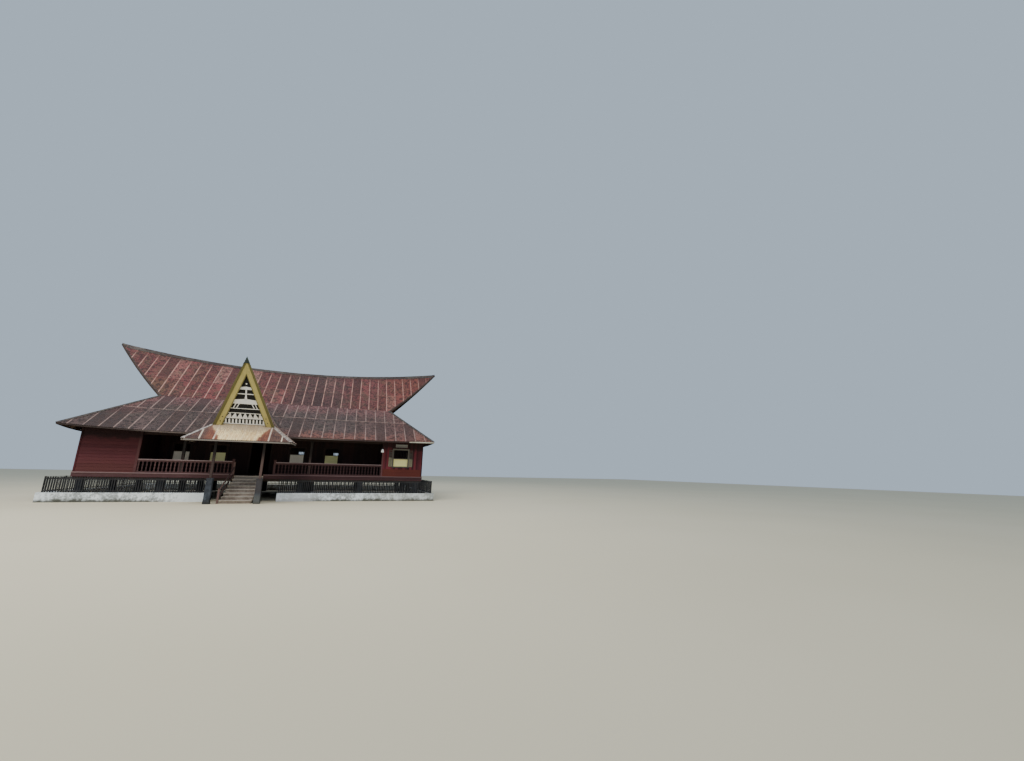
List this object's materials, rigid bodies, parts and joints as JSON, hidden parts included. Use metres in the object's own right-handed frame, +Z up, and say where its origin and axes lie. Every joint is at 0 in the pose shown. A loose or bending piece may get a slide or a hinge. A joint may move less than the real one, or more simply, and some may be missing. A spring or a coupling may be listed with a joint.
{
  "type": "angkola batak house",
  "caption": "Long raised timber house with a sagging-ridge zinc roof, open front verandah and a gabled porch over a masonry stair, inside a low plinth wall with a picket fence.",
  "frame": {"origin": "middle of the footprint, on the ground", "axes": "+X along the front to a visitor's right, +Y from the stair towards the back, +Z up"},
  "size_m": [18.612, 14.7568, 8.68],
  "materials": {
    "upper_roof_zinc": "rust-red corrugated zinc with light seams",
    "skirt_roof_zinc": "rust-brown corrugated zinc, greyer to the left",
    "porch_zinc": "weathered cream and rust zinc",
    "ridge_zinc": "grey zinc capping",
    "maroon_boards": "old maroon paint on boards",
    "inner_boards": "faded maroon paint on boards",
    "deck_boards": "bare worn boards",
    "edge_boards": "faded pink paint",
    "grey_timber": "pale grey-green paint",
    "pink_boards": "faded pinkish-red paint",
    "olive_boards": "olive-yellow paint, darker along the outer edge",
    "gable_paint": "black paint with white ornament",
    "whitewash": "whitewashed masonry, grey-green at the base",
    "concrete": "blue-grey cement render",
    "stair_stone": "brown-grey worn cement",
    "dark_iron": "dark weathered paint"
  },
  "bodies": {
    "root": {"upper_roof_front": "upper_roof_zinc", "upper_roof_rear": "upper_roof_zinc", "porch_gable_roof_left": "upper_roof_zinc", "porch_gable_roof_right": "upper_roof_zinc", "skirt_roof_front": "skirt_roof_zinc", "skirt_roof_rear": "skirt_roof_zinc", "skirt_roof_left": "skirt_roof_zinc", "skirt_roof_right": "skirt_roof_zinc", "porch_skirt_front": "porch_zinc", "porch_skirt_left": "porch_zinc", "porch_skirt_right": "porch_zinc", "ridge_cap": "ridge_zinc", "front_wall_left_room": "maroon_boards", "front_wall_right_room": "maroon_boards", "rear_wall": "maroon_boards", "end_wall_left": "maroon_boards", "end_wall_right": "maroon_boards", "gable_end_left": "maroon_boards", "gable_end_right": "maroon_boards", "room_wall_left": "inner_boards", "room_wall_right": "inner_boards", "verandah_back_wall": "inner_boards", "floor_deck": "deck_boards", "floor_edge_board": "edge_boards", "verandah_post_1": "grey_timber", "verandah_post_2": "grey_timber", "verandah_header": "grey_timber", "porch_post_left": "grey_timber", "porch_post_right": "grey_timber", "porch_frame": "grey_timber", "stair_handrail": "grey_timber", "balustrade_left": "pink_boards", "balustrade_right": "pink_boards", "bargeboard_left": "olive_boards", "bargeboard_right": "olive_boards", "gable_panel": "gable_paint", "plinth": "whitewash", "pier_row_1": "concrete", "pier_row_2": "concrete", "pier_row_3": "concrete", "pier_row_4": "concrete", "porch_pier_left": "concrete", "porch_pier_right": "concrete", "stair_flight": "stair_stone", "fence_front_left": "dark_iron", "fence_front_right": "dark_iron", "fence_left": "dark_iron", "fence_right": "dark_iron", "fence_rear": "dark_iron"}
  },
  "joints": []
}
